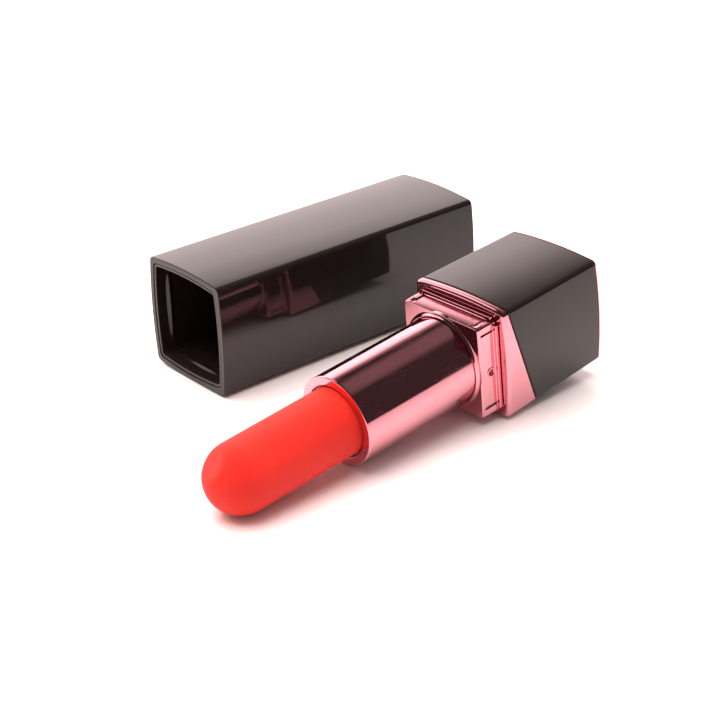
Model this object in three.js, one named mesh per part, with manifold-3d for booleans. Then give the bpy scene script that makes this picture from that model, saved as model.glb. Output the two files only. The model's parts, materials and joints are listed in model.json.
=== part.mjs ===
// Square swivel lipstick case, opened: the cap is off and lies beside the base unit.
// All sizes are in mm. +Z is up, the cap's axis runs along X with its mouth towards -X.
import * as THREE from 'three';
import { mergeVertices } from 'three/addons/utils/BufferGeometryUtils.js';
import Module from 'manifold-3d';

// ---- driving sizes ----
const FACE_CROWN = 0.62;        // how far each side face bulges past the corners
const CORNER_CUT = 0.75;        // where a face ends and its rounded corner starts
const BLOCK_LENGTH = 23.8;      // flange front to foot
const BLOCK_REAR_SCALE = 0.965; // the block is slightly narrower at its foot
const SLEEVE_WALL = 1.0;        // black sleeve over the block
const CUT_MIDDLE = -3.66;       // sleeve front edge at mid height, behind the flange front
const CUT_SLOPE = 0.291;        // the edge runs forward by this much per mm of height
const CUT_BEND = 0.0045;        // and curves slightly
const PLATE_THICKNESS = 0.4;    // foot plate
const FLANGE_ROUND = 0.65;      // rounded front edge of the flange

const CAP_LENGTH = 58.85;
const CAP_END_SCALE = 0.983;
const CAP_WALL = 1.0;
const LINER_WALL = 0.42;
const RIB_HEIGHT = 0.45;        // snap rib inside the liner
const RIB_DEPTH = 2.8;          // its distance from the mouth

const BULLET_RADIUS = 6.05;
const BULLET_TIP = 55.5;        // ahead of the flange front
const TUBE_ROOM = 1.9;          // from the bullet's side to the outside of the tube
const TUBE_MOUTH = 29.2;
const COLLAR_EDGE = 0.6;        // the square collar is this much wider than the tube
const COLLAR_FRONT = 4.4;
const COLLAR_CROWN = 0.12;      // its faces bulge only a little
const COLLAR_CORNER = 0.35;
const BEAD_FRONT = 0.8;         // front of the beads that stop the cap's mouth
const BEAD_RISE = 0.6;          // how far the beads stand out of the collar
const BEAD_END = 0.65;          // and how far they stop short of its corners
const PAD_BORDER = 0.55;        // collar left whole in front of the slits

const TRAVEL = 27.0;            // how far the bullet goes down
const TURN = 540;               // degrees of turn that do it
const PIN_RADIUS = 0.55;

// ---- clearances ----
const GAP = 0.1;                // between pieces that touch
const SLOT_GAP = 0.2;           // pins in their slots
const SEAM = 0.3;               // open line between the flange and the sleeve

// ---- layout of the two halves ----
const UNIT_YAW = 3.25;          // degrees, base unit against the cap
const UNIT_ROLL = -0.65;
const UNIT_ALONG = 28.8;        // flange centre behind the plane of the cap's mouth
const UNIT_ASIDE = 39.74;       // flange centre from the cap's axis

// ---- derived sizes ----
const TUBE_RADIUS = BULLET_RADIUS + TUBE_ROOM;
const COLLAR_HALF = TUBE_RADIUS + COLLAR_EDGE;
const CAP_INNER = COLLAR_HALF + GAP / 2 + LINER_WALL + GAP;
const CAP_HALF = CAP_INNER + CAP_WALL;
const BLOCK_HALF = CAP_HALF - 0.07;
const CUP_OUTER = BULLET_RADIUS + 0.4;
const CUP_INNER = BULLET_RADIUS + GAP;
const GUIDE_INNER = CUP_OUTER + GAP + 0.05;
const GUIDE_OUTER = GUIDE_INNER + 0.35;
const SPIRAL_INNER = GUIDE_OUTER + GAP;
const TUBE_INNER = TUBE_RADIUS - 0.35;
const SPIRAL_OUTER = TUBE_INNER - GAP;
const LIP = 0.65;
const LIP_INNER = BULLET_RADIUS + 0.35;
const CUP_TOP = TUBE_MOUTH - LIP - SEAM;
const CUP_BOTTOM = CUP_TOP - 10;
const PIN_Z = CUP_BOTTOM + 1.3;
const SPIRAL_BOTTOM = PIN_Z - TRAVEL - 2.3;
const GUIDE_FOOT_TOP = SPIRAL_BOTTOM - 0.2;
const GUIDE_BOTTOM = GUIDE_FOOT_TOP - 2.2;
const BORE_FLOOR = GUIDE_BOTTOM - GAP;
const BORE_RADIUS = SPIRAL_OUTER + 0.2;
const COLLAR_BORE = TUBE_RADIUS + GAP;
const SHELF_TOP = BEAD_FRONT + SEAM;
const LINER_OUTER = CAP_INNER - GAP;
const LINER_INNER = LINER_OUTER - LINER_WALL;
const LINER_CROWN = 0.5;
const LINER_CORNER = 0.5;
const ROUND = 48;               // facets of a full circle

// ---- small helpers ----
const radians = THREE.MathUtils.degToRad;
const wasm = await Module();
wasm.setup();

function solid(geometry) {
  const bare = new THREE.BufferGeometry();
  bare.setAttribute('position', geometry.getAttribute('position').clone());
  if (geometry.index) bare.setIndex(geometry.index.clone());
  const merged = mergeVertices(bare, 1e-4);
  const points = merged.getAttribute('position');
  const index = merged.index.array;
  const corners = [];
  for (let i = 0; i < index.length; i += 3) {
    const [a, b, c] = [index[i], index[i + 1], index[i + 2]];
    if (a !== b && b !== c && c !== a) corners.push(a, b, c);
  }
  const flipped = signedVolume(points, corners) < 0;
  if (flipped) corners.reverse();
  const mesh = new wasm.Mesh({
    numProp: 3,
    vertProperties: new Float32Array(points.array),
    triVerts: new Uint32Array(corners),
  });
  return new wasm.Manifold(mesh);
}

function signedVolume(points, corners) {
  const a = new THREE.Vector3();
  const b = new THREE.Vector3();
  const c = new THREE.Vector3();
  let total = 0;
  for (let i = 0; i < corners.length; i += 3) {
    a.fromBufferAttribute(points, corners[i]);
    b.fromBufferAttribute(points, corners[i + 1]);
    c.fromBufferAttribute(points, corners[i + 2]);
    total += a.dot(b.cross(c));
  }
  return total;
}

function crownedSquare(half, crown, cut = CORNER_CUT) {
  // four shallow arcs joined by small rounded corners
  const shape = new THREE.Shape();
  const rise = 2 * crown * cut / half;
  const turn = (x, y, quarter) => {
    const angle = quarter * Math.PI / 2;
    const [c, s] = [Math.round(Math.cos(angle)), Math.round(Math.sin(angle))];
    return [x * c - y * s, x * s + y * c];
  };
  shape.moveTo(...turn(half + rise, -(half - cut), 0));
  for (let quarter = 0; quarter < 4; quarter += 1) {
    const bulge = turn(half + 2 * crown - rise, 0, quarter);
    const faceEnd = turn(half + rise, half - cut, quarter);
    const corner = turn(half, half, quarter);
    const nextStart = turn(half - cut, half + rise, quarter);
    shape.quadraticCurveTo(...bulge, ...faceEnd);
    shape.quadraticCurveTo(...corner, ...nextStart);
  }
  return shape;
}

function prism(shape, low, high, bevel = 0, segments = 6) {
  const geometry = new THREE.ExtrudeGeometry(shape, {
    depth: high - low - 2 * bevel,
    bevelEnabled: bevel > 0,
    bevelSize: bevel,
    bevelThickness: bevel,
    bevelOffset: -bevel,
    bevelSegments: 2,
    curveSegments: segments,
  });
  geometry.translate(0, 0, low + bevel);
  return geometry;
}

function taper(geometry, length, endScale) {
  // narrows with distance behind z = 0
  const points = geometry.getAttribute('position');
  for (let i = 0; i < points.count; i += 1) {
    const share = Math.max(0, -points.getZ(i) / length);
    const scale = 1 + (endScale - 1) * share;
    points.setXY(i, points.getX(i) * scale, points.getY(i) * scale);
  }
  return geometry;
}

function turned(profile) {
  // closed profile of [radius, height] pairs, spun about Z
  const closed = [...profile, profile[0]].map(([r, z]) => new THREE.Vector2(r, z));
  return new THREE.LatheGeometry(closed, ROUND).rotateX(Math.PI / 2);
}

function ring(inner, outer, low, high) {
  return turned([[inner, low], [outer, low], [outer, high], [inner, high]]);
}

function disc(radius, low, high) {
  return new THREE.CylinderGeometry(radius, radius, high - low, ROUND)
    .rotateX(Math.PI / 2)
    .translate(0, 0, (low + high) / 2);
}

function box(width, height, low, high, x, y) {
  return new THREE.BoxGeometry(width, height, high - low).translate(x, y, (low + high) / 2);
}

// ---- base block ----
function block(half, low, high, bevel) {
  const shape = crownedSquare(half, FACE_CROWN);
  return solid(taper(prism(shape, low, high, bevel), BLOCK_LENGTH, BLOCK_REAR_SCALE));
}

function cutAt(height) {
  return CUT_MIDDLE + CUT_SLOPE * height - CUT_BEND * height * height;
}

function behindCut(back) {
  // everything behind the slanted edge, moved back by the given amount
  const reach = BLOCK_HALF + 3;
  const steps = 10;
  const shape = new THREE.Shape();
  shape.moveTo(-BLOCK_LENGTH - 5, -reach);
  for (let i = 0; i <= steps; i += 1) {
    const height = -reach + (2 * reach * i) / steps;
    shape.lineTo(cutAt(height) - back, height);
  }
  shape.lineTo(-BLOCK_LENGTH - 5, reach);
  shape.closePath();
  const geometry = new THREE.ExtrudeGeometry(shape, { depth: 2 * reach, bevelEnabled: false });
  return solid(geometry.rotateY(-Math.PI / 2).translate(reach, 0, 0));
}

function baseCore() {
  const head = block(BLOCK_HALF, -BLOCK_LENGTH, 0, FLANGE_ROUND).subtract(behindCut(0));
  const rear = -BLOCK_LENGTH + PLATE_THICKNESS + GAP;
  const body = block(BLOCK_HALF - SLEEVE_WALL - GAP, rear, -0.6, 0);
  const bore = solid(disc(BORE_RADIUS, BORE_FLOOR, 1));
  return head.add(body).subtract(bore);
}

function baseSleeve() {
  const rear = -BLOCK_LENGTH + PLATE_THICKNESS + GAP;
  const outside = block(BLOCK_HALF, rear, 0, 0);
  const inside = block(BLOCK_HALF - SLEEVE_WALL, rear - 1, 1, 0);
  return outside.intersect(behindCut(SEAM)).subtract(inside);
}

function basePlate() {
  return block(BLOCK_HALF, -BLOCK_LENGTH, -BLOCK_LENGTH + PLATE_THICKNESS, 0.12);
}

function guideTube() {
  const top = CUP_TOP;
  const wall = solid(turned([
    [GUIDE_INNER, GUIDE_BOTTOM],
    [BORE_RADIUS - GAP, GUIDE_BOTTOM],
    [BORE_RADIUS - GAP, GUIDE_FOOT_TOP],
    [GUIDE_OUTER, GUIDE_FOOT_TOP],
    [GUIDE_OUTER, top],
    [GUIDE_INNER, top],
  ]));
  const width = 2 * (PIN_RADIUS + SLOT_GAP);
  const low = PIN_Z - TRAVEL - PIN_RADIUS - SLOT_GAP;
  const high = PIN_Z + PIN_RADIUS + SLOT_GAP;
  const slots = solid(box(4 * GUIDE_OUTER, width, low, high, 0, 0));
  return wall.subtract(slots);
}

// ---- turning tube ----
class Helix extends THREE.Curve {
  constructor(radius) {
    super();
    this.radius = radius;
  }

  getPoint(share) {
    const spare = 6;
    const degrees = spare - share * (TURN + 2 * spare);
    const angle = radians(degrees);
    const height = PIN_Z + (TRAVEL * degrees) / TURN;
    const across = this.radius * Math.cos(angle);
    const up = this.radius * Math.sin(angle);
    return new THREE.Vector3(across, up, height);
  }
}

function spiralSleeve() {
  let piece = solid(ring(SPIRAL_INNER, SPIRAL_OUTER, SPIRAL_BOTTOM, CUP_TOP));
  const section = new THREE.Shape();
  section.absarc(0, 0, PIN_RADIUS + SLOT_GAP + 0.1, 0, 2 * Math.PI, false);
  const groove = (radius) => new THREE.ExtrudeGeometry(section, {
    steps: 45,
    curveSegments: 6,
    extrudePath: new Helix(radius),
  });
  // as many passes as it takes to cut through the wall
  const wall = SPIRAL_OUTER - SPIRAL_INNER;
  const passes = Math.ceil(wall / PIN_RADIUS);
  for (let i = 0; i < passes; i += 1) {
    const radius = SPIRAL_INNER + (wall * (i + 0.5)) / passes;
    piece = piece.subtract(solid(groove(radius)));
    piece = piece.subtract(solid(groove(radius).rotateZ(Math.PI)));
  }
  return piece;
}

function outerTube() {
  const edge = 0.3;
  return solid(turned([
    [TUBE_INNER, SHELF_TOP + GAP],
    [TUBE_RADIUS, SHELF_TOP + GAP],
    [TUBE_RADIUS, TUBE_MOUTH - edge],
    [TUBE_RADIUS - 0.3 * edge, TUBE_MOUTH - 0.3 * edge],
    [TUBE_RADIUS - edge, TUBE_MOUTH],
    [LIP_INNER + 0.15, TUBE_MOUTH],
    [LIP_INNER, TUBE_MOUTH - 0.15],
    [LIP_INNER, TUBE_MOUTH - LIP],
    [TUBE_INNER, TUBE_MOUTH - LIP],
  ]));
}

function collar() {
  const low = GAP + 0.05;
  const section = crownedSquare(COLLAR_HALF, COLLAR_CROWN, COLLAR_CORNER);
  let piece = solid(prism(section, low, COLLAR_FRONT, 0.1, 4));
  // small fillet around the foot of the tube
  piece = piece.add(solid(turned([
    [TUBE_RADIUS - 1, COLLAR_FRONT - 0.5],
    [COLLAR_BORE + 0.75, COLLAR_FRONT - 0.5],
    [COLLAR_BORE + 0.75, COLLAR_FRONT],
    [COLLAR_BORE + 0.3, COLLAR_FRONT + 0.15],
    [COLLAR_BORE + 0.1, COLLAR_FRONT + 0.6],
    [TUBE_RADIUS - 1, COLLAR_FRONT + 0.6],
  ])));
  // on each face a straight bead, and a springy pad between two slits
  const place = COLLAR_HALF - 1.5;
  const beadLength = 2 * (COLLAR_HALF - BEAD_END);
  for (let quarter = 0; quarter < 4; quarter += 1) {
    const bead = box(BEAD_RISE + 1, beadLength, low, BEAD_FRONT, COLLAR_HALF + (BEAD_RISE - 1) / 2, 0);
    bead.rotateZ(quarter * Math.PI / 2);
    piece = piece.add(solid(bead));
    for (const side of [-1, 1]) {
      const high = COLLAR_FRONT - PAD_BORDER;
      const slit = box(1.0, 0.45, BEAD_FRONT, high, COLLAR_HALF, side * place);
      slit.rotateZ(quarter * Math.PI / 2);
      piece = piece.subtract(solid(slit));
    }
  }
  piece = piece.subtract(solid(disc(COLLAR_BORE, SHELF_TOP, COLLAR_FRONT + 2)));
  piece = piece.subtract(solid(disc(SPIRAL_OUTER + GAP, 0, COLLAR_FRONT)));
  const dimple = new THREE.CylinderGeometry(0.45, 0.45, 0.5, 12);
  dimple.rotateZ(Math.PI / 2).translate(COLLAR_HALF, -0.5, BEAD_FRONT + 0.85);
  return piece.subtract(solid(dimple));
}

// ---- cup and bullet ----
function cup() {
  const wall = solid(turned([
    [0, CUP_BOTTOM],
    [CUP_OUTER, CUP_BOTTOM],
    [CUP_OUTER, CUP_TOP],
    [CUP_INNER, CUP_TOP],
    [CUP_INNER, CUP_BOTTOM + 0.8],
    [0, CUP_BOTTOM + 0.8],
  ]));
  const inner = CUP_INNER + 0.12;
  const outer = SPIRAL_OUTER - 0.05;
  let piece = wall;
  for (const side of [-1, 1]) {
    const pin = new THREE.CylinderGeometry(PIN_RADIUS, PIN_RADIUS, outer - inner, 12);
    pin.rotateZ(Math.PI / 2).translate(side * (inner + outer) / 2, 0, PIN_Z);
    piece = piece.add(solid(pin));
  }
  return piece;
}

function bullet() {
  const centre = BULLET_TIP - BULLET_RADIUS;
  const profile = [[0, CUP_BOTTOM + 0.8 + GAP], [BULLET_RADIUS, CUP_BOTTOM + 0.8 + GAP]];
  const rings = 9;
  for (let i = 0; i <= rings; i += 1) {
    const angle = (Math.PI / 2) * (i / rings);
    const radius = i === rings ? 0 : BULLET_RADIUS * Math.cos(angle);
    profile.push([radius, centre + BULLET_RADIUS * Math.sin(angle)]);
  }
  const body = solid(turned(profile));
  // shallow slanted face on the upper side of the tip
  const normal = new THREE.Vector3(-0.35, 0.75, 0.8).normalize();
  const cutter = new THREE.BoxGeometry(30, 30, 30).translate(0, 0, 15 + BULLET_RADIUS - 0.55);
  const turn = new THREE.Quaternion().setFromUnitVectors(new THREE.Vector3(0, 0, 1), normal);
  cutter.applyQuaternion(turn).translate(0, 0, centre);
  return body.subtract(solid(cutter));
}

// ---- cap ----
function capPrism(half, crown, low, high, bevel, corner) {
  const shape = crownedSquare(half, crown, corner);
  return solid(taper(prism(shape, low, high, bevel), CAP_LENGTH, CAP_END_SCALE));
}

function capShell() {
  const outside = capPrism(CAP_HALF, FACE_CROWN, -CAP_LENGTH, 0, 0.25);
  const inside = capPrism(CAP_INNER, FACE_CROWN, -CAP_LENGTH + CAP_WALL + 0.5, 1, 0);
  return outside.subtract(inside);
}

function capLiner() {
  const rear = -CAP_LENGTH + CAP_WALL + 0.5 + GAP;
  const front = -0.12;
  const outside = capPrism(LINER_OUTER, FACE_CROWN, rear, front, 0);
  const inside = capPrism(LINER_INNER, LINER_CROWN, rear - 1, 1, 0, LINER_CORNER);
  const band = capPrism(LINER_OUTER - 0.1, FACE_CROWN, -RIB_DEPTH - 0.6, -RIB_DEPTH + 0.6, 0);
  const way = capPrism(LINER_INNER - 0.01, LINER_CROWN - RIB_HEIGHT, -RIB_DEPTH - 2, 0, 0);
  return outside.subtract(inside).add(band.subtract(way));
}

// ---- colours ----
const PINK = { color: 0xf2a3ad, roughness: 0.16, metalness: 1 };
const BLACK = { color: 0x2a2423, roughness: 0.14, metalness: 0 };
const DARK = { color: 0x171313, roughness: 0.5, metalness: 0 };
const WHITE = { color: 0xe9e6e0, roughness: 0.5, metalness: 0 };
const RED = { color: 0xf0342c, roughness: 0.62, metalness: 0 };

// ---- placing ----
function unitFrame() {
  // the unit leans on the lower front edge of its flange and on the side of its tip
  const drop = BLOCK_HALF + FACE_CROWN;
  const reach = BULLET_TIP - BULLET_RADIUS;
  const lean = Math.atan2(drop, reach) - Math.asin(BULLET_RADIUS / Math.hypot(drop, reach));
  const frame = new THREE.Matrix4().makeRotationZ(radians(UNIT_YAW));
  frame.multiply(new THREE.Matrix4().makeRotationY(-lean));
  frame.multiply(lying());
  frame.multiply(new THREE.Matrix4().makeRotationZ(radians(UNIT_ROLL)));
  return frame;
}

function lying() {
  // own X goes to -Y, own Y to +Z, own Z to -X
  return new THREE.Matrix4().makeBasis(
    new THREE.Vector3(0, -1, 0),
    new THREE.Vector3(0, 0, 1),
    new THREE.Vector3(-1, 0, 0),
  );
}

function meshOf(name, piece, look) {
  const found = piece.getMesh();
  const geometry = new THREE.BufferGeometry();
  const points = new Float32Array(found.vertProperties);
  geometry.setAttribute('position', new THREE.BufferAttribute(points, 3));
  geometry.setIndex(new THREE.BufferAttribute(new Uint32Array(found.triVerts), 1));
  const mesh = new THREE.Mesh(geometry, new THREE.MeshStandardMaterial(look));
  mesh.name = name;
  return mesh;
}

function lowest(meshes) {
  const bounds = new THREE.Box3();
  for (const mesh of meshes) {
    mesh.geometry.computeBoundingBox();
    bounds.union(mesh.geometry.boundingBox);
  }
  return bounds;
}

const unit = [
  meshOf('base_core', baseCore(), PINK),
  meshOf('base_sleeve', baseSleeve(), BLACK),
  meshOf('base_plate', basePlate(), PINK),
  meshOf('guide_tube', guideTube(), WHITE),
  meshOf('collar', collar(), PINK),
  meshOf('outer_tube', outerTube(), PINK),
  meshOf('spiral_sleeve', spiralSleeve(), DARK),
  meshOf('cup', cup(), WHITE),
  meshOf('bullet', bullet(), RED),
];
const cap = [
  meshOf('cap_shell', capShell(), BLACK),
  meshOf('cap_liner', capLiner(), DARK),
];

for (const mesh of unit) {
  mesh.geometry.applyMatrix4(unitFrame());
}
for (const mesh of cap) {
  mesh.geometry.applyMatrix4(lying());
}
const unitFloor = lowest(unit).min.z;
const capFloor = lowest(cap).min.z;
for (const mesh of unit) {
  mesh.geometry.translate(UNIT_ALONG, -UNIT_ASIDE, -unitFloor);
}
for (const mesh of cap) {
  mesh.geometry.translate(0, 0, -capFloor);
}
const everything = [...unit, ...cap];
const middle = lowest(everything).getCenter(new THREE.Vector3());
const group = new THREE.Group();
for (const mesh of everything) {
  mesh.geometry.translate(-middle.x, -middle.y, 0);
  group.add(mesh);
}

export default group;
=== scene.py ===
"""Square swivel lipstick case, opened: the cap lies beside the base unit with its bullet raised."""
import json
import math

import bmesh
import bpy
from mathutils import Matrix, Vector

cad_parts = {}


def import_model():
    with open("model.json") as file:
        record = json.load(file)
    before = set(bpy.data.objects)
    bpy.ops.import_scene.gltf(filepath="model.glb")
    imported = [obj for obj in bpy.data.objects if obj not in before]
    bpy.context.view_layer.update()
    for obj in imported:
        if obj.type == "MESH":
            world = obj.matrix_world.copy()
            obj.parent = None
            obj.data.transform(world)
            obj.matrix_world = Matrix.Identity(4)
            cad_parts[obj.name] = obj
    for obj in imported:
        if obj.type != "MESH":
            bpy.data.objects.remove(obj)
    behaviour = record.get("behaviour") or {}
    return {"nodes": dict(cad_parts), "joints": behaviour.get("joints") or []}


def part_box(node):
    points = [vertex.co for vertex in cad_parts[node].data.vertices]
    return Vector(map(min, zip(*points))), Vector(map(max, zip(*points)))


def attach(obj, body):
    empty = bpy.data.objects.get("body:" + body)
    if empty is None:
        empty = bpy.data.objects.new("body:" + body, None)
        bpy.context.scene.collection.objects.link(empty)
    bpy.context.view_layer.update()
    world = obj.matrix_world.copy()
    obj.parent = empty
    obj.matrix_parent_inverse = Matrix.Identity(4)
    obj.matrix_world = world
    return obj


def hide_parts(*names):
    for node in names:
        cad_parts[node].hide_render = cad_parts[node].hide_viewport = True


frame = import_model()
bpy.context.scene.view_settings.view_transform = "Standard"
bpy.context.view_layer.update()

MM = 0.001

# ---- light: the sweep behind, the dim room, the fill on matt surfaces, and soft lamps ----
SWEEP = 4.6
SWEEP_BY_HEIGHT = [(0.0, 0.5), (0.44, 0.56), (0.52, 0.44), (0.57, 0.27), (0.62, 0.085), (0.7, 0.0)]
SWEEP_UPWARDS = (-0.109, 0.088, 1)
SWEEP_BACKWARDS = (0.629, 0.777, 0)
SWEEP_EDGE = (0.2, 0.4)
ROOM = 0.05
FILL = 0.36
PLAIN_WHITE = 1.3
SOFTBOX_POWER = 19
SOFTBOX_SIZE = 1.0
LAMPS = [  # direction, cosines where it starts and is full, strength
    ((-0.15, 0.74, 0.66), 0.91, 0.935, 1.7),
    ((0.564, 0.1, 0.82), 0.93, 0.985, 0.16),
]

# ---- camera: aim in mm, angles in degrees ----
AIM = (10.78, 5.30, 0)
AZIMUTH = 38.97
ELEVATION = 26.32
ROLL = -1.99
DISTANCE = 0.3483
LENS = 96.6

# ---- sizes in mm: the solids' own, with finer slits, pads, corners and foot plate edge ----
FACE_CROWN = 0.62
CORNER = 0.75
BLOCK_HALF = 10.05
BLOCK_LENGTH = 23.8
BLOCK_REAR_SCALE = 0.965
SLEEVE_WALL = 1.0
SEAM = 0.3
CUT_MIDDLE = -3.66
CUT_SLOPE = 0.291
CUT_BEND = 0.0045
PLATE = 0.25
FLANGE_ROUND = 0.65
GAP = 0.1
CAP_HALF = 10.12
CAP_LENGTH = 58.85
CAP_END_SCALE = 0.983
CAP_WALL = 1.0
LINER_WALL = 0.42
LINER_CROWN = 0.5
LINER_CORNER = 0.5
RIB_DEPTH = 2.8
RIB_HEIGHT = 0.45
BULLET_RADIUS = 6.05
BULLET_TIP = 55.5
BULLET_FOOT = 19.15
TUBE_RADIUS = 7.95
TUBE_INNER = 7.6
TUBE_MOUTH = 29.2
LIP = 0.65
LIP_INNER = 6.4
COLLAR_HALF = 8.55
COLLAR_FRONT = 4.4
COLLAR_BORE = 8.05
COLLAR_CROWN = 0.12
COLLAR_CORNER = 0.35
BEAD_FRONT = 0.8
BEAD_RISE = 0.6
BEAD_END = 0.65
SLIT = 0.46
SLIT_END = 0.55
SLIT_FROM_SIDE = 1.5
PAD_BORDER = 0.95
FALL = 0.09
FALL_START = 2.3
PIT_ACROSS = -0.5
PIT_ALONG = 1.12
PIT_ROOM = 0.95
PIT_EDGE = 0.86
PIT_RINGS = [(0.8, 0.12), (0.66, 0.14), (0.54, 0.05), (0.46, -0.3)]  # radius, height
SHELF_TOP = 1.1
NECK_BORE = 7.6
BORE_RADIUS = 7.7
BORE_FLOOR = -12.25
UNIT_ROLL = -0.65

# ---- frames of the two halves, from the joints and the cap's own box ----
turn_joint = next(j for j in frame["joints"] if j["name"] == "tube_turn")
cap_low, cap_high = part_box("cap_shell")


def unit_frame():
    """Own Z runs along the unit to its tip, own Y up, origin at the front of the flange."""
    along = Vector(turn_joint["axis"]).normalized()
    side = Vector((0, 0, 1)).cross(along).normalized()
    up = along.cross(side)
    roll = math.radians(UNIT_ROLL)
    turned_side = math.cos(roll) * side + math.sin(roll) * up
    turned_up = along.cross(turned_side)
    return placed(turned_side, turned_up, along, Vector(turn_joint["pos_m"]))


def cap_frame():
    """Own Z runs out of the cap's mouth, own Y up, origin in the plane of the mouth."""
    middle = (cap_low + cap_high) / 2
    origin = Vector((cap_low.x, middle.y, middle.z))
    return placed(Vector((0, -1, 0)), Vector((0, 0, 1)), Vector((-1, 0, 0)), origin)


def placed(x, y, z, origin):
    turn = Matrix((x, y, z)).transposed().to_4x4()
    return Matrix.Translation(origin) @ turn @ Matrix.Scale(MM, 4)


UNIT = unit_frame()
CAP = cap_frame()


# ---- colours and nodes ----
def linear(code, strength=1.0):
    """sRGB hex to linear RGBA."""
    parts = [int(code[i:i + 2], 16) / 255 for i in (0, 2, 4)]
    curve = [c / 12.92 if c <= 0.04045 else ((c + 0.055) / 1.055) ** 2.4 for c in parts]
    return (*[c * strength for c in curve], 1.0)


def grey(value):
    return (value, value, value, 1)


def add(tree, kind, inputs=None, **settings):
    """Adds a node; an input given as a socket is linked, any other is set."""
    node = tree.nodes.new(kind)
    for name, value in settings.items():
        setattr(node, name, value)
    for name, value in (inputs or {}).items():
        if isinstance(value, bpy.types.NodeSocket):
            tree.links.new(value, node.inputs[name])
        else:
            node.inputs[name].default_value = value
    return node


def new_material(name):
    made = bpy.data.materials.new(name)
    made.use_nodes = True
    tree = made.node_tree
    tree.nodes.clear()
    coords = add(tree, "ShaderNodeTexCoord").outputs["Object"]
    return made, tree, coords


def finish_material(tree, shader):
    add(tree, "ShaderNodeOutputMaterial", {"Surface": shader.outputs[0]})


def per_mm(size):
    """Noise scale for features of this many mm, with coordinates in metres."""
    return 1 / (size * MM)


def ramp(tree, fac, stops):
    node = add(tree, "ShaderNodeValToRGB", {"Fac": fac})
    marks = node.color_ramp.elements
    for _ in stops[2:]:
        marks.new(0.5)
    for mark, (position, color) in zip(marks, stops):
        mark.position = position
        mark.color = color
    return node.outputs["Color"]


def plated_pink():
    """Vacuum-plated, rose-lacquered metal: a mirror with faint waviness and hairline scratches."""
    made, tree, coords = new_material("plated_pink")
    wave = add(tree, "ShaderNodeTexNoise", {"Vector": coords, "Scale": per_mm(9), "Detail": 1.0})
    hair = add(tree, "ShaderNodeTexNoise", {"Vector": coords, "Scale": per_mm(0.5), "Detail": 4.0})
    drawn = add(tree, "ShaderNodeMapping", {"Vector": coords, "Scale": (0.12, 1, 1)})
    streak = add(tree, "ShaderNodeTexNoise", {
        "Vector": drawn.outputs["Vector"], "Scale": per_mm(0.7), "Detail": 6.0})
    rough = add(tree, "ShaderNodeMapRange", {
        "Value": streak.outputs["Fac"], "From Min": 0.42, "From Max": 0.8,
        "To Min": 0.03, "To Max": 0.24})
    fleck = add(tree, "ShaderNodeTexNoise", {"Vector": coords, "Scale": per_mm(0.22), "Detail": 1.0})
    dust = add(tree, "ShaderNodeMapRange", {
        "Value": fleck.outputs["Fac"], "From Min": 0.68, "From Max": 0.78,
        "To Min": 0.0, "To Max": 0.2})
    rough = add(tree, "ShaderNodeMath", {0: rough.outputs["Result"], 1: dust.outputs["Result"]},
                operation="ADD")
    tint = ramp(tree, wave.outputs["Fac"], [(0.3, linear("E399A3")), (0.7, linear("E9A1AB"))])
    bump = add(tree, "ShaderNodeBump", {
        "Height": hair.outputs["Fac"], "Strength": 0.03, "Distance": 0.00004})
    shader = add(tree, "ShaderNodeBsdfPrincipled", {
        "Base Color": tint, "Metallic": 1.0, "Roughness": rough.outputs["Value"],
        "Normal": bump.outputs["Normal"]})
    finish_material(tree, shader)
    return made


def gloss_black():
    """High-gloss moulded ABS in a warm black: deep reflections, dust-fine texture, faint flow."""
    made, tree, coords = new_material("gloss_black")
    cloud = add(tree, "ShaderNodeTexNoise", {"Vector": coords, "Scale": per_mm(14), "Detail": 2.0})
    dust = add(tree, "ShaderNodeTexNoise", {"Vector": coords, "Scale": per_mm(0.35), "Detail": 3.0})
    tint = ramp(tree, cloud.outputs["Fac"], [(0.3, linear("1D1817")), (0.7, linear("221C1B"))])
    rough = add(tree, "ShaderNodeMapRange", {
        "Value": dust.outputs["Fac"], "From Min": 0.4, "From Max": 0.8,
        "To Min": 0.03, "To Max": 0.1})
    bump = add(tree, "ShaderNodeBump", {
        "Height": dust.outputs["Fac"], "Strength": 0.02, "Distance": 0.00003})
    shader = add(tree, "ShaderNodeBsdfPrincipled", {
        "Base Color": tint, "Roughness": rough.outputs["Result"], "IOR": 1.46,
        "Normal": bump.outputs["Normal"]})
    finish_material(tree, shader)
    return made


def liner_black():
    """Black moulded PP liner: satin, slightly mottled from the mould."""
    made, tree, coords = new_material("liner_black")
    grain = add(tree, "ShaderNodeTexNoise", {"Vector": coords, "Scale": per_mm(0.8), "Detail": 4.0})
    tint = ramp(tree, grain.outputs["Fac"], [(0.3, linear("1A1413")), (0.7, linear("241C1A"))])
    bump = add(tree, "ShaderNodeBump", {
        "Height": grain.outputs["Fac"], "Strength": 0.08, "Distance": 0.00005})
    shader = add(tree, "ShaderNodeBsdfPrincipled", {
        "Base Color": tint, "Roughness": 0.14, "IOR": 1.49, "Normal": bump.outputs["Normal"]})
    finish_material(tree, shader)
    return made


def natural_plastic():
    """Unpigmented moulded PP of the mechanism: milky and satin."""
    made, tree, coords = new_material("natural_plastic")
    grain = add(tree, "ShaderNodeTexNoise", {"Vector": coords, "Scale": per_mm(1.5), "Detail": 3.0})
    tint = ramp(tree, grain.outputs["Fac"], [(0.3, linear("E4E0DA")), (0.7, linear("EFECE7"))])
    shader = add(tree, "ShaderNodeBsdfPrincipled", {
        "Base Color": tint, "Roughness": 0.4, "IOR": 1.49, "Subsurface Weight": 0.1,
        "Subsurface Scale": 0.0005})
    finish_material(tree, shader)
    return made


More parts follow.
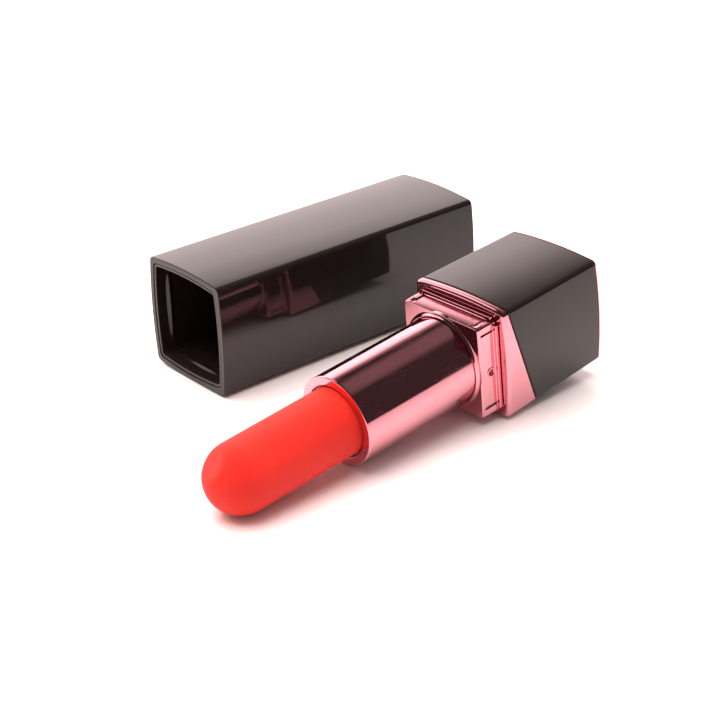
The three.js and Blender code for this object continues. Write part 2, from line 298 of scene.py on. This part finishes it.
def red_wax():
    """Matte pigmented wax: fine powdery grain, soft sheen and a little light let in."""
    made, tree, coords = new_material("red_wax")
    grain = add(tree, "ShaderNodeTexNoise", {"Vector": coords, "Scale": per_mm(0.25), "Detail": 3.0})
    cloud = add(tree, "ShaderNodeTexNoise", {"Vector": coords, "Scale": per_mm(5), "Detail": 2.0})
    tint = ramp(tree, cloud.outputs["Fac"], [(0.3, linear("DC2A20")), (0.7, linear("E22E24"))])
    bump = add(tree, "ShaderNodeBump", {
        "Height": grain.outputs["Fac"], "Strength": 0.25, "Distance": 0.00005})
    shader = add(tree, "ShaderNodeBsdfPrincipled", {
        "Base Color": tint, "Roughness": 0.72, "IOR": 1.35, "Subsurface Weight": 0.1,
        "Subsurface Scale": 0.0006, "Sheen Weight": 0.05, "Sheen Roughness": 0.5,
        "Normal": bump.outputs["Normal"]})
    shader.inputs["Subsurface Radius"].default_value = (1.0, 0.25, 0.15)
    finish_material(tree, shader)
    return made


# ---- mesh helpers, in mm in a half's own frame ----
def rounded_block(half, crown, corner, low, high, cuts=14):
    """Upright block of crowned square section, cut into strips so that its faces can bulge."""
    bm = bmesh.new()
    bmesh.ops.create_cube(bm, size=2)
    bmesh.ops.scale(bm, vec=(half, half, (high - low) / 2), verts=bm.verts)
    bmesh.ops.translate(bm, vec=(0, 0, (high + low) / 2), verts=bm.verts)
    upright = [e for e in bm.edges if abs(e.verts[0].co.z - e.verts[1].co.z) > 1e-6]
    bmesh.ops.bevel(bm, geom=upright, offset=corner, offset_type="OFFSET", segments=5,
                    affect="EDGES", profile=0.5, material=-1)
    inner = half - corner
    for i in range(1, cuts):
        place = inner * (2 * i / cuts - 1)
        slice_at(bm, (place, 0, 0), (1, 0, 0))
        slice_at(bm, (0, place, 0), (0, 1, 0))
    for v in bm.verts:
        x, y = v.co.x / half, v.co.y / half
        v.co.x += crown * x * (1 - y * y)
        v.co.y += crown * y * (1 - x * x)
    return bm


def once(items):
    """Each item one time, in the order they come."""
    return list(dict.fromkeys(items))


def slice_at(bm, place, direction):
    geom = bm.verts[:] + bm.edges[:] + bm.faces[:]
    bmesh.ops.bisect_plane(bm, geom=geom, plane_co=place, plane_no=direction)


def taper(bm, length, end_scale):
    """Narrows a block evenly towards its rear end."""
    for v in bm.verts:
        scale = 1 + (end_scale - 1) * max(0, -v.co.z / length)
        v.co.x *= scale
        v.co.y *= scale


def cut_at(height):
    """Where the slanted edge between the flange and the sleeve lies, by height."""
    return CUT_MIDDLE + CUT_SLOPE * height - CUT_BEND * height * height


def faces_at(bm, z):
    """Faces that lie at one height."""
    return [f for f in bm.faces if all(abs(v.co.z - z) < 1e-4 for v in f.verts)]


def open_end(bm, z):
    """Takes the end face away and returns the edges of the hole."""
    bmesh.ops.delete(bm, geom=faces_at(bm, z), context="FACES")
    return [e for e in bm.edges if e.is_boundary and all(abs(v.co.z - z) < 1e-4 for v in e.verts)]


def round_rim(bm, edges, width, segments=3):
    return bmesh.ops.bevel(bm, geom=edges, offset=width, offset_type="OFFSET", segments=segments,
                           affect="EDGES", profile=0.5, material=-1)


def corner_edges(bm, z):
    """Edges at one height where the surface turns by about a right angle."""
    return [e for e in bm.edges if e.calc_face_angle(0) > 1.2
            and all(abs(v.co.z - z) < 1e-4 for v in e.verts)]


def round_end(bm, z, width, segments):
    """Rounds the outline of an end face."""
    end = set(faces_at(bm, z))
    round_rim(bm, [e for e in bm.edges if len(end & set(e.link_faces)) == 1], width, segments)


def grown(bm, loop):
    """Pulls a new loop out of an old one and returns its corners and edges."""
    geom = bmesh.ops.extrude_edge_only(bm, edges=loop)["geom"]
    verts = [v for v in geom if isinstance(v, bmesh.types.BMVert)]
    return verts, [e for e in geom if isinstance(e, bmesh.types.BMEdge) and set(e.verts) <= set(verts)]


def angle_of(v):
    return math.atan2(v.co.y, v.co.x)


def by_angle(edges):
    return sorted(once(v for e in edges for v in e.verts), key=angle_of)


def whole_angle(v, count, ring):
    """Angle of a corner reached by walking round a ring, past the full turn too."""
    if count > len(ring):
        return math.inf
    return angle_of(v) + 2 * math.pi * (count // len(ring))


def bored(bm, z, radius):
    """Replaces an end face by a flat one with a round hole and returns the edges of the hole.

    Outline and hole are joined by walking round both, each time on to the corner that comes first.
    """
    hole = open_end(bm, z)
    disc = bmesh.ops.create_circle(bm, cap_ends=False, radius=radius, segments=96,
                                   matrix=Matrix.Translation((0, 0, z)))
    loop = once(e for v in disc["verts"] for e in v.link_edges)
    outline = by_angle(hole)
    ring = by_angle(loop)
    i = j = 0
    while i < len(outline) or j < len(ring):
        out, at = outline[i % len(outline)], ring[j % len(ring)]
        next_out, next_at = outline[(i + 1) % len(outline)], ring[(j + 1) % len(ring)]
        if whole_angle(next_out, i + 1, outline) <= whole_angle(next_at, j + 1, ring):
            bm.faces.new((out, next_out, at))
            i += 1
        else:
            bm.faces.new((out, next_at, at))
            j += 1
    return loop


def tunnel(bm, *holes):
    """Joins two round holes over one another by a straight wall."""
    rings = [by_angle(hole) for hole in holes]
    for i in range(len(rings[0])):
        bm.faces.new((rings[0][i - 1], rings[0][i], rings[1][i], rings[1][i - 1]))


def join(bm, other):
    mesh = bpy.data.meshes.new("part")
    other.to_mesh(mesh)
    other.free()
    bm.from_mesh(mesh)
    bpy.data.meshes.remove(mesh)


def spun(profile, steps, closed=True):
    """Profile of (radius, height) points, turned a full circle about Z."""
    bm = bmesh.new()
    verts = [bm.verts.new((r, 0, z)) for r, z in profile]
    first = 0 if closed else 1
    edges = [bm.edges.new((verts[i - 1], verts[i])) for i in range(first, len(verts))]
    bmesh.ops.spin(bm, geom=verts + edges, cent=(0, 0, 0), axis=(0, 0, 1), dvec=(0, 0, 0),
                   angle=2 * math.pi, steps=steps, use_merge=True, use_duplicate=False)
    bmesh.ops.remove_doubles(bm, verts=bm.verts, dist=1e-4)
    bmesh.ops.recalc_face_normals(bm, faces=bm.faces)
    return bm


def ring_edges(bm, radius, height):
    found = []
    for e in bm.edges:
        if all(abs(v.co.xy.length - radius) < 1e-3 and abs(v.co.z - height) < 1e-3 for v in e.verts):
            found.append(e)
    return found


def piece(name, bm, where, look, body, node, sharp=50):
    """Ends a piece: places its mesh, shades it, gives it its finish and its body."""
    limit = math.radians(sharp)
    bm.normal_update()
    for f in bm.faces:
        f.smooth = abs(f.normal.z) < 0.9999
    bmesh.ops.transform(bm, matrix=where, verts=bm.verts)
    for e in bm.edges:
        e.smooth = len(e.link_faces) == 2 and e.calc_face_angle(0) < limit
    mesh = bpy.data.meshes.new(name)
    bm.to_mesh(mesh)
    bm.free()
    made = bpy.data.objects.new(name, mesh)
    bpy.context.scene.collection.objects.link(made)
    mesh.materials.append(look)
    shading = made.modifiers.new("even_shading", "WEIGHTED_NORMAL")
    shading.keep_sharp = True
    shading.weight = 80
    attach(made, body)
    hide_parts(node)


# ---- base block ----
def base_flange():
    """Pink head of the core with its slanted rear edge, its bore and the body under the sleeve."""
    bm = rounded_block(BLOCK_HALF, FACE_CROWN, CORNER, -1, 0)
    back = faces_at(bm, -1)
    for v in bm.verts:
        v.co.z *= -cut_at(v.co.y)
    taper(bm, BLOCK_LENGTH, BLOCK_REAR_SCALE)
    round_end(bm, 0, FLANGE_ROUND, 8)
    bore = bored(bm, 0, BORE_RADIUS)
    bmesh.ops.recalc_face_normals(bm, faces=bm.faces)
    lower, rim = grown(bm, bore)
    bmesh.ops.translate(bm, vec=(0, 0, BORE_FLOOR), verts=lower)
    bmesh.ops.contextual_create(bm, geom=rim)
    back = [f for f in back if f.is_valid]
    bmesh.ops.inset_region(bm, faces=back, thickness=SLEEVE_WALL + GAP, use_even_offset=True)
    pulled = bmesh.ops.extrude_face_region(bm, geom=back)
    bmesh.ops.delete(bm, geom=back, context="FACES")
    for v in pulled["geom"]:
        if isinstance(v, bmesh.types.BMVert):
            v.co.z = -BLOCK_LENGTH + PLATE + GAP
    bmesh.ops.recalc_face_normals(bm, faces=bm.faces)
    return bm


def base_sleeve():
    """Black shell over the block; its front edge is slanted and slightly rounded."""
    rear = -BLOCK_LENGTH + PLATE + GAP
    outer = rounded_block(BLOCK_HALF, FACE_CROWN, CORNER, -1, 0)
    inner = rounded_block(BLOCK_HALF - SLEEVE_WALL, FACE_CROWN, CORNER, -1, 0)
    bmesh.ops.reverse_faces(inner, faces=inner.faces)
    join(outer, inner)
    ends = open_end(outer, 0) + open_end(outer, -1)
    bmesh.ops.bridge_loops(outer, edges=[e for e in ends if abs(e.verts[0].co.z) < 1e-4])
    bmesh.ops.bridge_loops(outer, edges=[e for e in ends if abs(e.verts[0].co.z + 1) < 1e-4])
    for v in outer.verts:
        front = cut_at(v.co.y) - SEAM
        v.co.z = front + (front - rear) * v.co.z
    taper(outer, BLOCK_LENGTH, BLOCK_REAR_SCALE)
    bmesh.ops.recalc_face_normals(outer, faces=outer.faces)
    edges = [e for e in outer.edges if len(e.link_faces) == 2 and e.calc_face_angle(0) > 0.9]
    front = [e for e in edges if e.verts[0].co.z > rear / 2]
    back = [e for e in edges if e.verts[0].co.z < rear / 2]
    round_rim(outer, back, 0.16, 3)
    round_rim(outer, front, 0.32, 4)
    return outer


def base_plate():
    """Thin pink plate that closes the rear end."""
    bm = rounded_block(BLOCK_HALF, FACE_CROWN, CORNER, -BLOCK_LENGTH, -BLOCK_LENGTH + PLATE)
    taper(bm, BLOCK_LENGTH, BLOCK_REAR_SCALE)
    edges = [e for e in bm.edges if e.calc_face_angle(0) > 1.2]
    round_rim(bm, edges, 0.11, 3)
    return bm


# ---- turning tube ----
def sunk(bm, faces, rim, depth, out):
    """Lets faces in against the outward direction, with a slanted rim around them."""
    bmesh.ops.inset_region(bm, faces=faces, thickness=rim, use_even_offset=True)
    verts = once(v for f in faces for v in f.verts)
    bmesh.ops.translate(bm, vec=out * -depth, verts=verts)


def fall(bm):
    """Lets the four faces fall off softly towards the front."""
    for v in bm.verts:
        along = max(0, v.co.z - FALL_START) / (COLLAR_FRONT - FALL_START)
        scale = 1 - FALL * along * along / COLLAR_HALF
        v.co.x *= scale
        v.co.y *= scale


def collar_front():
    """Square section with a sunk pad between two slits on each face."""
    low = GAP + 0.05
    place = COLLAR_HALF - SLIT_FROM_SIDE
    border = COLLAR_FRONT - PAD_BORDER
    slit_end = COLLAR_FRONT - SLIT_END
    bm = rounded_block(COLLAR_HALF, COLLAR_CROWN, COLLAR_CORNER, low, COLLAR_FRONT, cuts=10)
    for shift in (place - SLIT / 2, place + SLIT / 2):
        for side in (-1, 1):
            slice_at(bm, (side * shift, 0, 0), (1, 0, 0))
            slice_at(bm, (0, side * shift, 0), (0, 1, 0))
    for height in (BEAD_FRONT, 2.6, 3.0, border, 3.65, slit_end, 4.1):
        slice_at(bm, (0, 0, height), (0, 0, 1))
    fall(bm)
    round_end(bm, COLLAR_FRONT, 0.12, 4)
    round_end(bm, low, 0.1, 4)
    tunnel(bm, bored(bm, COLLAR_FRONT, COLLAR_BORE + 0.02), bored(bm, low, NECK_BORE))
    bmesh.ops.recalc_face_normals(bm, faces=bm.faces)
    for quarter in range(4):
        out = Matrix.Rotation(quarter * math.pi / 2, 3, "Z") @ Vector((1, 0, 0))
        across = Vector((-out.y, out.x, 0))
        slits = []
        pads = []
        for f in bm.faces:
            middle = f.calc_center_median()
            shift = abs(middle.dot(across))
            if middle.dot(out) < COLLAR_HALF - 0.1 or not BEAD_FRONT < middle.z < slit_end:
                continue
            if abs(shift - place) < SLIT / 2:
                slits.append(f)
            elif shift < place and middle.z < border:
                pads.append(f)
        sunk(bm, slits, 0.12, 0.06, out)
        sunk(bm, slits, 0.02, 0.6, out)
        sunk(bm, pads, 0.12, 0.1, out)
    moulding_pit(bm)
    bmesh.ops.recalc_face_normals(bm, faces=bm.faces)
    return bm


def pad_faces(bm):
    """Faces of the side of the collar that has the pit, with their middles."""
    middles = [(f, f.calc_center_median()) for f in bm.faces if f.normal.x > 0.99]
    return [(f, at) for f, at in middles if at.x > COLLAR_HALF - 0.15]


def moulding_pit(bm):
    """Small crater in one pad: a raised rim round a hole."""
    middle = Vector((PIT_ACROSS, BEAD_FRONT + PIT_ALONG))
    for side in (-1, 1):
        for shift in (Vector((0, side, 0)), Vector((0, 0, side))):
            near = [f for f, at in pad_faces(bm)
                    if abs(at.y) < 6 and BEAD_FRONT < at.z < COLLAR_FRONT - 1]
            geom = once(v for f in near for v in f.verts) + once(e for f in near for e in f.edges)
            bmesh.ops.bisect_plane(bm, geom=geom + near, plane_no=shift,
                                   plane_co=Vector((0, *middle)) + shift * PIT_ROOM)
    inside = [f for f, at in pad_faces(bm)
              if max(abs(at.y - middle.x), abs(at.z - middle.y)) < PIT_ROOM]
    level = sum(f.calc_center_median().x for f in inside) / len(inside)
    bmesh.ops.delete(bm, geom=inside, context="FACES")
    hole = [e for e in bm.edges if e.is_boundary]
    turn = Matrix.Translation((level, *middle)) @ Matrix.Rotation(math.pi / 2, 4, "Y")
    rim = bmesh.ops.create_circle(bm, cap_ends=False, radius=PIT_EDGE, segments=32, matrix=turn)
    loop = once(e for v in rim["verts"] for e in v.link_edges)
    bmesh.ops.bridge_loops(bm, edges=hole + loop)
    for radius, height in PIT_RINGS:
        verts, loop = grown(bm, loop)
        for v in verts:
            away = (v.co.yz - middle).normalized() * radius
            v.co = (level + height, middle.x + away.x, middle.y + away.y)
    bmesh.ops.contextual_create(bm, geom=loop)


def tube_foot():
    """Hollow fillet where the tube leaves the collar."""
    reach = 0.6
    steps = 8
    points = [(COLLAR_BORE, COLLAR_FRONT - 0.5), (COLLAR_BORE + 0.1 + reach, COLLAR_FRONT - 0.5)]
    for i in range(steps + 1):
        angle = math.pi / 2 * i / steps
        points.append((COLLAR_BORE + 0.1 + reach * (1 - math.sin(angle)),
                       COLLAR_FRONT + reach * (1 - math.cos(angle))))
    points.append((COLLAR_BORE, COLLAR_FRONT + reach))
    return spun(points, 128)


def collar_beads():
    """Four straight bars right in front of the flange that stop the mouth of the cap."""
    low = GAP + 0.05
    root = 0.5
    beads = bmesh.new()
    for quarter in range(4):
        bm = bmesh.new()
        bmesh.ops.create_cube(bm, size=1)
        size = (BEAD_RISE + root, 2 * (COLLAR_HALF - BEAD_END), BEAD_FRONT - low)
        bmesh.ops.scale(bm, vec=size, verts=bm.verts)
        round_rim(bm, bm.edges[:], 0.13, 4)
        bmesh.ops.translate(bm, vec=(COLLAR_HALF + (BEAD_RISE - root) / 2, 0, (BEAD_FRONT + low) / 2),
                            verts=bm.verts)
        bmesh.ops.rotate(bm, matrix=Matrix.Rotation(quarter * math.pi / 2, 3, "Z"), verts=bm.verts)
        join(beads, bm)
    return beads


def outer_tube():
    bm = spun([(TUBE_INNER, SHELF_TOP + GAP), (TUBE_RADIUS, SHELF_TOP + GAP),
               (TUBE_RADIUS, TUBE_MOUTH), (LIP_INNER, TUBE_MOUTH),
               (LIP_INNER, TUBE_MOUTH - LIP), (TUBE_INNER, TUBE_MOUTH - LIP)], 160)
    round_rim(bm, ring_edges(bm, TUBE_RADIUS, TUBE_MOUTH), 0.25, 4)
    round_rim(bm, ring_edges(bm, LIP_INNER, TUBE_MOUTH), 0.12, 3)
    return bm


def bullet():
    """Round bullet with a soft slanted face on the upper side of its tip."""
    centre = BULLET_TIP - BULLET_RADIUS
    points = [(0, BULLET_FOOT), (BULLET_RADIUS, BULLET_FOOT)]
    lengths = 24
    for i in range(1, lengths + 1):
        points.append((BULLET_RADIUS, BULLET_FOOT + (centre - BULLET_FOOT) * i / lengths))
    arcs = 28
    for i in range(1, arcs):
        angle = math.pi / 2 * i / arcs
        points.append((BULLET_RADIUS * math.cos(angle), centre + BULLET_RADIUS * math.sin(angle)))
    points.append((0, BULLET_TIP))
    bm = spun(points, 96, closed=False)
    normal = Vector((-0.35, 0.75, 0.8)).normalized()
    level = BULLET_RADIUS - 0.7
    soft = 0.22
    for v in bm.verts:
        over = (v.co - Vector((0, 0, centre))).dot(normal) - level
        v.co -= normal * (math.sqrt(over * over + soft * soft) + over) / 2
    return bm


# ---- cap ----
def cap_shell():
    outer = rounded_block(CAP_HALF, FACE_CROWN, CORNER, -CAP_LENGTH, 0)
    inner = rounded_block(CAP_HALF - CAP_WALL, FACE_CROWN, CORNER, -CAP_LENGTH + CAP_WALL + 0.5, 0)
    bmesh.ops.reverse_faces(inner, faces=inner.faces)
    join(outer, inner)
    bmesh.ops.bridge_loops(outer, edges=open_end(outer, 0))
    taper(outer, CAP_LENGTH, CAP_END_SCALE)
    bmesh.ops.recalc_face_normals(outer, faces=outer.faces)
    mouth = corner_edges(outer, 0)
    far = corner_edges(outer, -CAP_LENGTH)
    round_rim(outer, mouth, 0.14, 3)
    round_rim(outer, far, 0.25, 4)
    return outer


def cap_liner():
    """Liner with a soft snap rib standing in from its four walls."""
    half = CAP_HALF - CAP_WALL - GAP
    rear = -CAP_LENGTH + CAP_WALL + 0.5 + GAP
    front = -0.12
    outer = rounded_block(half, FACE_CROWN, CORNER, rear, front)
    inner = rounded_block(half - LINER_WALL, LINER_CROWN, LINER_CORNER, rear, front)
    for step in range(-6, 7):
        slice_at(inner, (0, 0, -RIB_DEPTH + step * 0.2), (0, 0, 1))
    for v in inner.verts:
        offset = abs(v.co.z + RIB_DEPTH) / 0.8
        if offset >= 1:
            continue
        rise = RIB_HEIGHT * (math.cos(math.pi * offset) + 1) / 2
        reach = half - LINER_WALL
        x, y = v.co.x / reach, v.co.y / reach
        v.co.x -= rise * x * max(0, 1 - y * y)
        v.co.y -= rise * y * max(0, 1 - x * x)
    bmesh.ops.reverse_faces(inner, faces=inner.faces)
    join(outer, inner)
    bmesh.ops.bridge_loops(outer, edges=open_end(outer, front))
    bmesh.ops.bridge_loops(outer, edges=open_end(outer, rear))
    taper(outer, CAP_LENGTH, CAP_END_SCALE)
    bmesh.ops.recalc_face_normals(outer, faces=outer.faces)
    round_rim(outer, corner_edges(outer, front), 0.12, 3)
    return outer


# ---- surroundings ----
def camera():
    azimuth, elevation, roll = math.radians(AZIMUTH), math.radians(ELEVATION), math.radians(ROLL)
    ahead = Vector((math.cos(elevation) * math.sin(azimuth),
                    math.cos(elevation) * math.cos(azimuth), -math.sin(elevation)))
    right = ahead.cross(Vector((0, 0, 1))).normalized()
    up = right.cross(ahead)
    right, up = (math.cos(roll) * right + math.sin(roll) * up,
                 math.cos(roll) * up - math.sin(roll) * right)
    data = bpy.data.cameras.new("camera")
    data.lens = LENS
    data.sensor_width = 36
    data.clip_start = 0.01
    data.clip_end = 20
    made = bpy.data.objects.new("camera", data)
    place = Vector(AIM) * MM - ahead * DISTANCE
    made.matrix_world = (Matrix.Translation(place)
                         @ Matrix((right, up, -ahead)).transposed().to_4x4())
    bpy.context.scene.collection.objects.link(made)
    bpy.context.scene.camera = made


def floor():
    """White coated card, faintly glossy."""
    bm = bmesh.new()
    bmesh.ops.create_grid(bm, x_segments=1, y_segments=1, size=3)
    mesh = bpy.data.meshes.new("floor")
    bm.to_mesh(mesh)
    bm.free()
    made = bpy.data.objects.new("floor", mesh)
    bpy.context.scene.collection.objects.link(made)
    look, tree, _ = new_material("paper_white")
    shader = add(tree, "ShaderNodeBsdfPrincipled", {
        "Base Color": linear("F3EEEC"), "Roughness": 0.25, "IOR": 1.7})
    finish_material(tree, shader)
    mesh.materials.append(look)


def softbox(place, tint):
    """Square lamp that looks at the object and makes no highlights."""
    data = bpy.data.lights.new("top_softbox", "AREA")
    data.shape = "RECTANGLE"
    data.size = SOFTBOX_SIZE
    data.size_y = SOFTBOX_SIZE
    data.energy = SOFTBOX_POWER
    data.color = linear(tint)[:3]
    made = bpy.data.objects.new("top_softbox", data)
    made.location = place
    made.visible_glossy = False
    made.rotation_euler = (-Vector(place)).to_track_quat("-Z", "Y").to_euler()
    bpy.context.scene.collection.objects.link(made)


def world():
    """Dark room with a bright sweep low behind the object; straight past it all is plain white."""
    made = bpy.data.worlds.new("studio")
    bpy.context.scene.world = made
    made.use_nodes = True
    tree = made.node_tree
    tree.nodes.clear()
    coords = add(tree, "ShaderNodeTexCoord").outputs["Generated"]
    height = add(tree, "ShaderNodeVectorMath", {0: coords, 1: SWEEP_UPWARDS},
                 operation="DOT_PRODUCT").outputs["Value"]
    behind = add(tree, "ShaderNodeVectorMath", {0: coords, 1: SWEEP_BACKWARDS},
                 operation="DOT_PRODUCT").outputs["Value"]
    low = ramp(tree, height, [(place, grey(value)) for place, value in SWEEP_BY_HEIGHT])
    back = ramp(tree, behind, [(SWEEP_EDGE[0], grey(0)), (SWEEP_EDGE[1], grey(1))])
    sweep = add(tree, "ShaderNodeMath", {0: low, 1: back}, operation="MULTIPLY").outputs[0]
    level = add(tree, "ShaderNodeMath", {0: sweep, 1: SWEEP, 2: ROOM},
                operation="MULTIPLY_ADD").outputs[0]
    for direction, start, end, strength in LAMPS:
        toward = add(tree, "ShaderNodeVectorMath", {0: coords, 1: Vector(direction).normalized()},
                     operation="DOT_PRODUCT").outputs["Value"]
        spot = ramp(tree, toward, [(start, grey(0)), (end, grey(1))])
        level = add(tree, "ShaderNodeMath", {0: spot, 1: strength, 2: level},
                    operation="MULTIPLY_ADD").outputs[0]
    rays = add(tree, "ShaderNodeLightPath").outputs
    level = add(tree, "ShaderNodeMath", {0: rays["Is Diffuse Ray"], 1: FILL, 2: level},
                operation="MULTIPLY_ADD").outputs[0]
    room = add(tree, "ShaderNodeBackground", {"Color": linear("FFEDEA"), "Strength": level})
    white = add(tree, "ShaderNodeBackground", {"Color": grey(1), "Strength": PLAIN_WHITE})
    both = add(tree, "ShaderNodeMixShader",
               {0: rays["Is Camera Ray"], 1: room.outputs[0], 2: white.outputs[0]})
    add(tree, "ShaderNodeOutputWorld", {"Surface": both.outputs[0]})


camera()
floor()
world()
softbox((-0.1, 0.15, 0.9), "FFF4F2")

pink = plated_pink()
black = gloss_black()
dark = liner_black()
milky = natural_plastic()
red = red_wax()

piece("base_flange", base_flange(), UNIT, pink, "base", "base_core")
piece("base_sleeve_shell", base_sleeve(), UNIT, black, "base", "base_sleeve")
piece("base_foot_plate", base_plate(), UNIT, pink, "base", "base_plate")
ring = collar_front()
join(ring, tube_foot())
join(ring, collar_beads())
piece("collar_square", ring, UNIT, pink, "tube", "collar", sharp=28)
piece("tube_case", outer_tube(), UNIT, pink, "tube", "outer_tube")
piece("bullet_wax", bullet(), UNIT, red, "lift", "bullet")
piece("cap_outer", cap_shell(), CAP, black, "cap", "cap_shell")
piece("cap_inner", cap_liner(), CAP, dark, "cap", "cap_liner")

for node, look in (("guide_tube", milky), ("cup", milky), ("spiral_sleeve", dark)):
    mesh = frame["nodes"][node].data
    mesh.materials.clear()
    mesh.materials.append(look)
